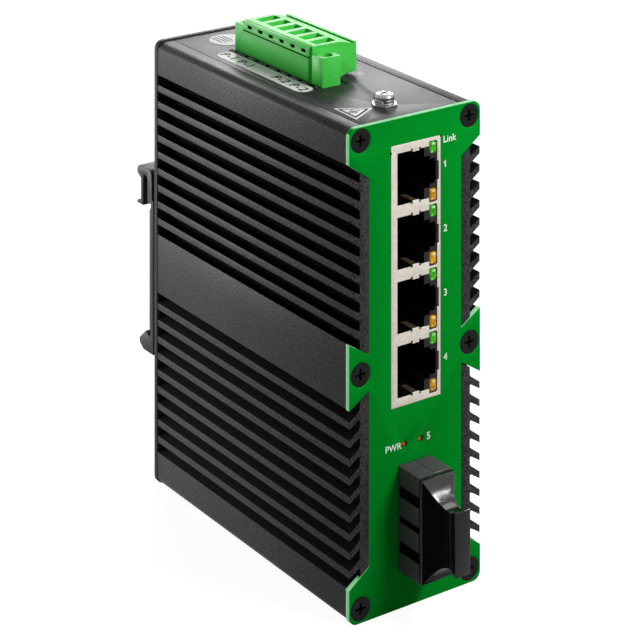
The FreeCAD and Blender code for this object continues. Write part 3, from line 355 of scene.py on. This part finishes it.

# ---------------------------------------------------------------- Faceplate
# Laser-cut aluminium, painted satin green. The cut edges carry a painted highlight, lighter at
# the sides than at the top and bottom. Slanted notches on both sides let the fins' ends show.
green_face = finish("green_face", (0.0, 0.25, 0.017), (0.0, 0.275, 0.021), 0.45, grain=1400, drift=25,
                    bump=0.000002, specular=0.02)
painted_edge_highlight = finish("green_edge_painted_highlight", (0.29, 0.78, 0.37), (0.39, 0.90, 0.47), 0.45, grain=1800, drift=200,
                   specular=0.05)
painted_top_highlight = finish("green_top_painted_highlight", (0.12, 0.44, 0.18), (0.20, 0.54, 0.26), 0.45, grain=1800, drift=200,
                  specular=0.05)
openings_reach, openings_top = 0.0125, 0.1065
upper_notch_end = 0.1
front_lean, cut_lean = 0.35, 0.92


def cut_edge_highlights(centre, normal):
    """1 on the plate's outer cut edges at the sides, 2 on those at the top and bottom, else 0; 1 and 2 are painted
    highlights.
    """
    beside_openings = abs(centre.x) < openings_reach and centre.z < openings_top
    if abs(normal.y) > front_lean or beside_openings:
        return 0
    if abs(normal.z) > cut_lean:
        return 2
    return 1 if abs(normal.x) > cut_lean or centre.z < upper_notch_end else 0


eased("faceplate", green_face, 0.00015, others=[painted_edge_highlight, painted_top_highlight], chosen=cut_edge_highlights)

# ---------------------------------------------------------------- Lettering on the faceplate
# The lamps' names and the ports' numbers, screen printed in white ink, as thin as the ink
# really lies. The figure one has a short flag, printed as a stroke of its own.
white_ink = finish("white_ink", (0.86, 0.88, 0.86), (0.95, 0.97, 0.95), 0.5, grain=3000, drift=100)
ink_thickness = 0.00002


def lettering(name, words, size, place, right, up, material, squeeze=1.0, spacing=1.0, bold=0.00002):
    """Flat words from place, running along right with their tops towards up."""
    curve = bpy.data.curves.new(name, "FONT")
    curve.body = words
    curve.size = size
    curve.space_character = spacing
    curve.extrude = ink_thickness / 2
    curve.offset = bold
    text_object = bpy.data.objects.new(name, curve)
    scene.collection.objects.link(text_object)
    bpy.context.view_layer.update()
    data = bpy.data.meshes.new_from_object(text_object.evaluated_get(bpy.context.evaluated_depsgraph_get()))
    bpy.data.objects.remove(text_object)
    right, up = Vector(right).normalized(), Vector(up).normalized()
    out = right.cross(up)
    lay = Matrix.Identity(4)
    for row in range(3):
        lay[row][0] = right[row] * squeeze
        lay[row][1] = up[row]
        lay[row][2] = out[row]
        lay[row][3] = place[row] + out[row] * ink_thickness / 2
    data.transform(lay)
    data.name = name
    data.materials.clear()
    data.materials.append(material)
    piece = bpy.data.objects.new(name, data)
    scene.collection.objects.link(piece)
    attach(piece, "root")


def block(work, size, place, turn=0.0):
    """Adds a rectangular block, centred on place and turned by turn about the depth axis."""
    made = bmesh.ops.create_cube(work, size=1.0)["verts"]
    bmesh.ops.scale(work, vec=size, verts=made)
    bmesh.ops.rotate(work, verts=made, matrix=Matrix.Rotation(turn, 3, "Y"))
    bmesh.ops.translate(work, verts=made, vec=place)


face_front = -0.04025
face_words = (  # name, words, left end, foot, size
    ("link_word", "Link", 0.0075, 0.0991, 0.00215), ("pwr_word", "PWR", -0.0084, 0.0347, 0.00205),
    ("port_1", "1", 0.0076, 0.0937, 0.0022), ("port_2", "2", 0.0076, 0.0795, 0.0022),
    ("port_3", "3", 0.0076, 0.0653, 0.0022), ("port_4", "4", 0.0076, 0.0511, 0.0022),
    ("port_5", "5", 0.0029, 0.0349, 0.0022))
for name, words, left, foot, size in face_words:
    lettering(name, words, size, (left, face_front, foot), (1, 0, 0), (0, 0, 1), white_ink)
flag_length, flag_width, flag_turn = 0.00075, 0.00022, math.radians(-38)
digit = [corner.co for corner in bpy.data.objects["port_1"].data.vertices]
flag_place = (min(c.x for c in digit) - 0.00008, face_front - ink_thickness / 2, max(c.z for c in digit) - 0.00032)
flag = bmesh.new()
block(flag, (flag_length, ink_thickness, flag_width), flag_place, flag_turn)
settle("port_1_flag", flag, [white_ink])

# ---------------------------------------------------------------- Screws of the plates and the clip
# Countersunk steel screws with a cross recess, cold headed and blackened. Six hold each plate,
# driven just below its face, and two hold the clip.
black_zinc = finish("black_zinc", (0.004, 0.004, 0.0045), (0.012, 0.012, 0.013), 0.34, grain=2200, drift=300,
                    specular=0.08)
# deep_shade is near-black painted shade, put in recesses, gaps and holes.
deep_shade = finish("deep_shade", (0.0006, 0.0006, 0.0006), (0.002, 0.002, 0.002), 0.6, grain=2600, specular=0.02)
plate_cross, clip_cross = 0.03993, 0.0430  # from the case's middle, about 0.2 mm under the heads' tops
for node, cross_start in (("faceplate_screws", plate_cross), ("rear_plate_screws", plate_cross),
                          ("clip_screws", clip_cross)):

    def in_cross(centre, normal):
        """True in the crosses cut in the heads, which get painted shade."""
        return abs(centre.y) < cross_start

    eased(node, black_zinc, 0.00006, others=[deep_shade], chosen=in_cross)

# ---------------------------------------------------------------- Rail clip
# One aluminium extrusion, sawn to the case's width: a hook with a slot above, a V seat below.
# A rubber pad keeps it off the rear plate, and two screws run into clinch nuts.
clip_coat = finish("clip_coat", (0.008, 0.008, 0.0085), (0.035, 0.035, 0.036), 0.48, grain=2400, drift=60,
                   bump=0.00005, specular=0.2, streaks=(30, 3000, 3000))
eased("din_clip", clip_coat, 0.00015)
black_rubber = finish("black_rubber", (0.006, 0.006, 0.006), (0.015, 0.015, 0.015), 0.8, grain=1800, bump=0.00001)
wear("clip_pad", black_rubber)
spring_steel = finish("spring_steel", (0.35, 0.34, 0.33), (0.45, 0.44, 0.43), 0.35, metal=1.0, streaks=(40, 4000, 4000))
wear("rail_spring", spring_steel)
plain_steel = finish("plain_steel", (0.5, 0.49, 0.47), (0.62, 0.61, 0.59), 0.35, grain=1500, metal=1.0)
wear("clip_nuts", plain_steel)

# ---------------------------------------------------------------- Main board and what stands on it
# A green circuit board on brass stand-offs, with its switch chip, transformers, crystal,
# inductor and capacitors, and a grey pad that carries the chip's heat to the case.
solder_mask = finish("solder_mask", (0.004, 0.07, 0.028), (0.012, 0.13, 0.055), 0.3, grain=700, drift=150)
wear("main_board", solder_mask)
brass = finish("brass", (0.55, 0.38, 0.13), (0.7, 0.5, 0.2), 0.3, grain=1500, metal=1.0)
for node in ("board_standoffs", "header_nuts", "clamp_cages"):
    wear(node, brass)
for node in ("board_screws", "crystal", "fibre_pins", "header_pins", "ground_nut"):
    wear(node, plain_steel)
chip_black = finish("chip_black", (0.008, 0.008, 0.008), (0.02, 0.02, 0.02), 0.5, grain=4000, bump=0.00001,
                    specular=0.2)
for node in ("switch_chip", "lan_transformers", "power_inductor"):
    wear(node, chip_black)
wear("power_capacitors", finish("capacitor_sleeve", (0.01, 0.012, 0.03), (0.02, 0.022, 0.05), 0.3, grain=900))
wear("thermal_pad", finish("grey_pad", (0.3, 0.33, 0.36), (0.4, 0.42, 0.44), 0.8, grain=1500, bump=0.00002))

# ---------------------------------------------------------------- Four-port jack
# A moulded black body with gold spring contacts inside a folded tin shield; the small relief notches at
# its folds are thin sheets of painted shade, and the ports' insides get painted shade. Each port has a green and an
# amber lamp on its right with painted highlights, a rib beside its mouth and two bowed spring fingers that touch the
# plug's shield.
port_pitch, port_count = 0.01397, 4
port_centres = [0.09341 - port_pitch * port for port in range(port_count)]


def trim(name, blocks, edge, material):
    """One piece of small trim: blocks, each a size and a place, with their edges broken."""
    work = bmesh.new()
    for size, place in blocks:
        block(work, size, place)
    ease_edges(work, edge)
    settle(name, work, [material])


tin_plate = finish("tin_plate", (0.62, 0.57, 0.49), (0.72, 0.67, 0.59), 0.42, grain=1500, drift=80, metal=0.35,
                   spread=0.08, streaks=(2500, 2500, 60))
eased("jack_shield", tin_plate, 0.00005)
shield_low, shield_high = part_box("jack_shield")
# The relief notches are thin near-black sheets: painted shade.
side_relief_shade = ((0.0003, 0.00006, 0.0005), (-0.00682, shield_low[1], shield_high[2] - 0.00145))
corner_relief_shade = ((0.0004, 0.00006, 0.0003), (0.00672, shield_low[1], shield_high[2] - 0.0001))
trim("shield_relief_shade", [side_relief_shade, corner_relief_shade], 0.00002, deep_shade)
jack_plastic = finish("jack_plastic", (0.012, 0.012, 0.0125), (0.03, 0.03, 0.031), 0.45, grain=2600, bump=0.000004,
                      specular=0.12)
mouth_depth = -0.0396


def behind_mouth(centre, normal):
    """True on the faces inside the ports, which get painted shade."""
    return centre.y > mouth_depth


eased("jack_body", jack_plastic, 0.00006, others=[deep_shade], chosen=behind_mouth)
contact_gold = finish("contact_gold", (0.8, 0.52, 0.18), (0.9, 0.62, 0.26), 0.25, grain=1500, metal=1.0)
wear("jack_contacts", contact_gold)
green_lens = finish("green_lens", (0.01, 0.24, 0.001), (0.06, 0.62, 0.006), 0.2, grain=900, drift=300, specular=0.12,
                    coat=0.1)
amber_lens = finish("amber_lens", (0.42, 0.19, 0.001), (0.78, 0.42, 0.006), 0.2, grain=900, drift=300, specular=0.12,
                    coat=0.1)
# Painted highlights: pale patches near each lens's top and bottom, standing in for glints of light.
green_highlight_paint = finish("green_highlight_paint", (0.35, 0.80, 0.22), (0.55, 0.92, 0.40), 0.2, grain=900)
amber_highlight_paint = finish("amber_highlight_paint", (0.85, 0.62, 0.25), (0.92, 0.74, 0.40), 0.2, grain=900)
painted_highlights = ((0.56, 0.80, 0.46, 0.17), (0.34, 0.17, 0.2, 0.1))  # across, up, width, height: shares of the lens
highlight_thickness = 0.00004
for node, slot, lens, highlight_paint in (("green_lamps", "green_lens", green_lens, green_highlight_paint),
                               ("amber_lamps", "amber_lens", amber_lens, amber_highlight_paint)):
    eased(node, lens, 0.00045, segments=5)
    low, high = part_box(node)
    lens_width = high[0] - low[0]
    lens_height = high[2] - low[2] - (port_count - 1) * port_pitch
    trim(node + "_painted_highlights",
         [((wide * lens_width, highlight_thickness, tall * lens_height),
           (low[0] + across * lens_width, low[1] - highlight_thickness / 4,
            high[2] - port * port_pitch - (1 - up) * lens_height))
          for port in range(port_count) for across, up, wide, tall in painted_highlights], 0.00001, highlight_paint)
spring_bronze = finish("spring_bronze", (0.22, 0.14, 0.08), (0.34, 0.23, 0.14), 0.3, grain=1800, metal=0.8,
                       streaks=(3000, 60, 3000))
finger_left, finger_width, finger_length = -0.00095, 0.0015, 0.0042
finger_front, finger_rise, finger_bow, finger_thickness = -0.0400, 0.00546, 0.0002, 0.00018
fingers = bmesh.new()
for port_z in port_centres:
    for side in (-1, 1):
        made = bmesh.ops.create_grid(fingers, x_segments=1, y_segments=5, size=0.5)["verts"]
        bmesh.ops.scale(fingers, vec=(finger_width, finger_length, 1), verts=made)
        for corner in made:
            along = corner.co.y / finger_length + 0.5
            corner.co.z = -side * finger_bow * along * (1 - along)
        bmesh.ops.translate(fingers, verts=made, vec=(finger_left + finger_width / 2, finger_front + finger_length / 2,
                                                      port_z + side * finger_rise))
bmesh.ops.solidify(fingers, geom=fingers.faces[:], thickness=finger_thickness)
bmesh.ops.recalc_face_normals(fingers, faces=fingers.faces)
settle("spring_fingers", fingers, [spring_bronze])
mouth_rib, rib_across, rib_back = (0.00058, 0.0006, 0.0039), 0.00599, -0.03985
trim("mouth_ribs", [(mouth_rib, (rib_across, rib_back, port_z)) for port_z in port_centres], 0.0001, jack_plastic)

# ---------------------------------------------------------------- Duplex fibre module
# Two moulded black halves that clip together, with white ceramic ferrules inside. The nose
# stands out of the faceplate and has three recessed bands on each side.
fibre_plastic = finish("fibre_plastic", (0.045, 0.044, 0.0455), (0.080, 0.078, 0.081), 0.40, grain=2200, drift=80,
                       bump=0.000006, specular=0.15)
fibre_gloss = finish("fibre_gloss", (0.045, 0.044, 0.0455), (0.080, 0.078, 0.081), 0.32, grain=2200, drift=80,
                     bump=0.000004, specular=0.5)
left_band, right_band = (-0.0046, -0.0037), (0.0031, 0.0040)
nose_back = -0.0402


def band_recess(centre, normal):
    """True inside the recessed bands on the module's sides, which get painted shade."""
    return centre.y < nose_back and any(low < centre.x < high for low, high in (left_band, right_band))


for node, plastic in (("fibre_base", fibre_plastic), ("fibre_cover", fibre_gloss)):
    eased(node, plastic, 0.00012, others=[deep_shade], chosen=band_recess)
wear("fibre_ferrules", finish("white_ceramic", (0.8, 0.78, 0.72), (0.88, 0.86, 0.8), 0.15, grain=900))

# ---------------------------------------------------------------- Dust plug
# A glossy black cap moulded in one piece, pushed into both fibre ports: a flange, a waist that
# is hollowed above and below for the fingers, and a bar to pull on.
# One black plastic drawn in three copies by face direction: painted shade, a painted sheen and a painted highlight.
plug_shade_gloss = finish("plug_shade_gloss", (0.0006, 0.0006, 0.0006), (0.002, 0.002, 0.002), 0.2, grain=900, drift=40,
                     spread=0.08, specular=0.015, streaks=(1800, 1800, 60))
plug_sheen_satin = finish("plug_sheen_satin", (0.002, 0.002, 0.002), (0.006, 0.006, 0.006), 0.24, grain=900, drift=60,
                     spread=0.08, specular=0.22, streaks=(1800, 60, 1800))
plug_highlight_polish = finish("plug_highlight_polish", (0.002, 0.002, 0.002), (0.004, 0.004, 0.004), 0.15, grain=900, drift=60,
                        spread=0.07, specular=0.7, streaks=(1800, 60, 1800))
cheek_back, hollow_back, bar_back = -0.0486, -0.0470, -0.0545
cheek_lean, upper_lean, lower_lean = 0.5, 0.2, -0.03


def plug_shade_and_highlights(centre, normal):
    """0 on the cheeks and the lower hollow, as painted shade; 1 on the flange and the bar, as a painted sheen; 2 on the
    upper hollow, as a painted highlight.
    """
    if abs(normal.x) > cheek_lean:
        return 1 if centre.y > cheek_back or centre.y < bar_back else 0
    if normal.z > upper_lean:
        return 2
    return 0 if normal.z < lower_lean and bar_back < centre.y < hollow_back else 1


eased("dust_plug", plug_shade_gloss, 0.00018, segments=3, smooth=50,
      others=[plug_sheen_satin, plug_highlight_polish], chosen=plug_shade_and_highlights)

# ---------------------------------------------------------------- Panel lamps
# Two small round lamps of tinted plastic, one for power and one for the fibre link. They sit
# back in their holes in the faceplate, in one moulded black holder, drawn darker still as painted shade.
# The power lamp's lens is drawn lighter than the link lamp's, as a painted glow.
orange_painted_glow = finish("orange_painted_glow", (0.55, 0.12, 0.001), (0.66, 0.16, 0.002), 0.3, grain=500, specular=0.1)
wear("power_lamp", orange_painted_glow)
unlit_lens = finish("unlit_lens", (0.42, 0.10, 0.001), (0.52, 0.13, 0.002), 0.3, grain=500, specular=0.1)
wear("link_lamp", unlit_lens)
wear("lamp_holder", deep_shade)

# ---------------------------------------------------------------- Power terminal
# A moulded black socket on the board and a green six-pole plug in it, held by a screw at each
# end. The socket's ribbed lip shows along the plug's foot as a strip of painted shade under grey ribs,
# and each wire well has a sill. The plug's seam and test slots get painted shade.
terminal_green = finish("terminal_green", (0.054, 0.505, 0.062), (0.070, 0.55, 0.078), 0.42, grain=2600, drift=90,
                        bump=0.000004, specular=0.12)
pole_count, pole_pitch, first_pole = 6, 0.00445, -0.005375
body_front, body_back = -0.0081, 0.0196
seam_low, seam_high, seam_face, seam_root = 0.1119, 0.11226, -0.00578, -0.0054
slot_low, slot_high, slot_face, slot_root, slot_half = 0.1128, 0.1137, -0.00575, -0.0042, 0.00088
outer_lean = -0.7


def in_slot(centre, normal):
    """True in the long seam and in the test slots of the plug's left side, which get painted shade."""
    if not body_front < centre.y < body_back:
        return False
    if seam_low < centre.z < seam_high:
        return seam_face < centre.x < seam_root
    poles_along = (centre.y - first_pole) / pole_pitch
    off_pole = abs(poles_along - round(poles_along)) * pole_pitch
    within = slot_low < centre.z < slot_high and slot_face < centre.x < slot_root
    return within and off_pole < slot_half and normal.x > outer_lean


eased("terminal_plug", terminal_green, 0.00014, others=[deep_shade], chosen=in_slot)
eased("terminal_header", chip_black, 0.0001)
for node in ("clamp_screws", "ear_screws"):
    wear(node, plain_steel)
rib_grey = finish("rib_grey", (0.02, 0.02, 0.021), (0.04, 0.04, 0.041), 0.4, grain=2600)
trim("header_lip_shade", [((0.00125, 0.0371, 0.0003), (-0.00645, 0.00565, 0.10634))], 0.0001, deep_shade)
header_rib, rib_place = (0.00032, 0.0032, 0.0002), (-0.0066, first_pole - pole_pitch / 2, 0.10652)
trim("header_ribs", [(header_rib, (rib_place[0], rib_place[1] + pole_pitch * pole, rib_place[2]))
                     for pole in range(-1, pole_count + 1)], 0.00008, rib_grey)
well_sill, sill_place = (0.00085, 0.0028, 0.0044), (0.00144, first_pole, 0.1111)
trim("well_sills", [(well_sill, (sill_place[0], sill_place[1] + pole_pitch * pole, sill_place[2]))
                    for pole in range(pole_count)], 0.0001, terminal_green)

# ---------------------------------------------------------------- Ground screw
# A pan-head screw with a split washer, a flat washer and a six-sided plate, all steel with
# bright zinc. The stack is drawn 12 % lower than the solids, measured from the cover.
bright_zinc = finish("bright_zinc", (0.25, 0.255, 0.265), (0.38, 0.39, 0.40), 0.3, grain=1800, drift=300, metal=1.0,
                     spread=0.08)
seat_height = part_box("ground_hex")[0][2]
screw_axis = Vector((-0.001, -0.030, 0))
drawn_share, cross_turn = 0.88, math.radians(38)
cross_reach, cross_floor, cross_lean = 0.0014, 0.1086, 0.6
for node, edge in (("ground_hex", 0.00012), ("ground_washer", 0.0001), ("ground_spring_washer", 0.00014),
                   ("ground_screw", 0.0002)):
    work = joined_mesh(node)
    bmesh.ops.scale(work, vec=(1, 1, drawn_share), space=Matrix.Translation((0, 0, -seat_height)), verts=work.verts)
    ease_edges(work, edge, segments=3, smooth=30)
    if node == "ground_screw":
        bmesh.ops.rotate(work, cent=screw_axis, matrix=Matrix.Rotation(cross_turn, 3, "Z"), verts=work.verts)
    # The faces in the head's cross get painted shade.
    work.normal_update()
    for face in work.faces:
        middle = face.calc_center_median()
        hollow = face.normal.z < cross_lean or middle.z < cross_floor
        in_middle = (middle - screw_axis).xy.length < cross_reach
        face.material_index = 1 if node == "ground_screw" and hollow and in_middle else 0
    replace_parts(settle(node + "_eased", work, [bright_zinc, deep_shade], smooth=30), node)

# ---------------------------------------------------------------- Labels on the top cover
# Printed film labels, die cut and stuck on: a strip that names the terminal's poles, a round
# one with a few grey lines, and a small triangle with the common earth sign by the ground
# screw. The strip's film is drawn lighter than the other labels, as painted light where the terminal shades it.
# Beside them are a printed word and a painted shadow strip in the cover's right seam.
cover_top = 0.1064
film_thickness = 0.00006
label_film = finish("label_film", (0.52, 0.54, 0.51), (0.62, 0.64, 0.61), 0.4, grain=1500, drift=60, specular=0.05)
# Lighter than label_film: painted light on the strip where the terminal shades it.
strip_film_painted_light = finish("strip_film_painted_light", (0.76, 0.745, 0.74), (0.84, 0.825, 0.82), 0.4, grain=1500, drift=60, specular=0.05)
black_ink = finish("black_ink", (0.006, 0.006, 0.006), (0.014, 0.014, 0.014), 0.6, grain=3000, specular=0.03)


def stick_film(name, work, material):
    """Gives a flat outline on the cover a film's thickness and settles it."""
    raised = bmesh.ops.extrude_face_region(work, geom=work.faces[:])
    bmesh.ops.translate(work, vec=(0, 0, film_thickness),
                        verts=[v for v in raised["geom"] if isinstance(v, bmesh.types.BMVert)])
    bmesh.ops.recalc_face_normals(work, faces=work.faces)
    settle(name, work, [material])


def film_label(name, outline, material, rounding=0.0, lift=0.0):
    """A thin film with the given corners, rounded by rounding, lift above the cover."""
    work = bmesh.new()
    low = [work.verts.new((x, y, cover_top + lift)) for x, y in outline]
    work.faces.new(low)
    if rounding > 0:
        bmesh.ops.bevel(work, geom=low, offset=rounding, offset_type="OFFSET", affect="VERTICES", segments=6,
                        profile=0.5, material=-1)
    stick_film(name, work, material)


def rectangle(x_low, x_high, y_low, y_high):
    """The corners of a rectangle."""
    return [(x_low, y_low), (x_high, y_low), (x_high, y_high), (x_low, y_high)]


film_label("pole_strip", rectangle(-0.01175, -0.0072, -0.01265, 0.0231), strip_film_painted_light, rounding=0.0021)
words_foot, words_size = -0.01070, 0.0033
for name, words, start in (("strip_word_a", "P-1 P-1", 0.0225), ("strip_word_b", "P-2 P-2", 0.0009)):
    lettering(name, words, words_size, (words_foot, start, cover_top + film_thickness), (0, -1, 0), (1, 0, 0),
              black_ink, spacing=1.1, squeeze=1.2, bold=0.00005)

lettering("ground_word", "FG", 0.0018, (0.0073, -0.0077, cover_top), (0, -1, 0), (1, 0, 0), label_film, bold=0)
film_label("seam_shadow", rectangle(0.01344, 0.01360, -0.0389, 0.0395), deep_shade)
round_place, round_radius = (-0.00255, 0.03135, cover_top), 0.00456
round_label = bmesh.new()
bmesh.ops.create_circle(round_label, cap_ends=True, segments=64, radius=round_radius,
                        matrix=Matrix.Translation(round_place))
stick_film("round_label", round_label, label_film)

print_grey = finish("print_grey", (0.10, 0.10, 0.10), (0.17, 0.17, 0.17), 0.5, grain=3000, specular=0.05)
print_lift, line_half, lines_middle = 0.00002, 0.00021, 0.0325
for row, (across, length) in enumerate(((-0.0050, 0.0044), (-0.0040, 0.0052), (-0.0030, 0.0052), (-0.0020, 0.0044))):
    film_label("round_line_%d" % row,
               rectangle(across - line_half, across + line_half, lines_middle - length / 2, lines_middle + length / 2),
               print_grey, lift=print_lift)

label_field = finish("label_field", (0.30, 0.31, 0.31), (0.38, 0.39, 0.39), 0.4, grain=1500, drift=60, specular=0.2)
label_corners = [Vector((-0.0119, -0.02585)), Vector((-0.01215, -0.03485)), Vector((-0.0045, -0.03045))]
label_middle = (label_corners[0] + label_corners[1] + label_corners[2]) / 3
label_rounding = 0.0003
for name, share, material, layer in (("ground_label", 1.0, label_film, 0), ("ground_label_line", 0.82, black_ink, 1),
                                     ("ground_label_field", 0.62, label_field, 2)):
    film_label(name, [tuple(label_middle + share * (corner - label_middle)) for corner in label_corners], material,
               rounding=label_rounding * share, lift=print_lift * layer)
earth_sign = (  # name, lower and upper edge from the label's middle, half length
    ("earth_stem", 0.0, 0.0014, 0.00017), ("earth_bar_1", -0.0002, 0.0001, 0.0012),
    ("earth_bar_2", -0.0008, -0.0005, 0.0008), ("earth_bar_3", -0.0014, -0.0011, 0.0004))
for name, lower, upper, half in earth_sign:
    film_label(name, rectangle(label_middle.x + lower, label_middle.x + upper, label_middle.y - half,
                               label_middle.y + half), black_ink, lift=print_lift * 3)
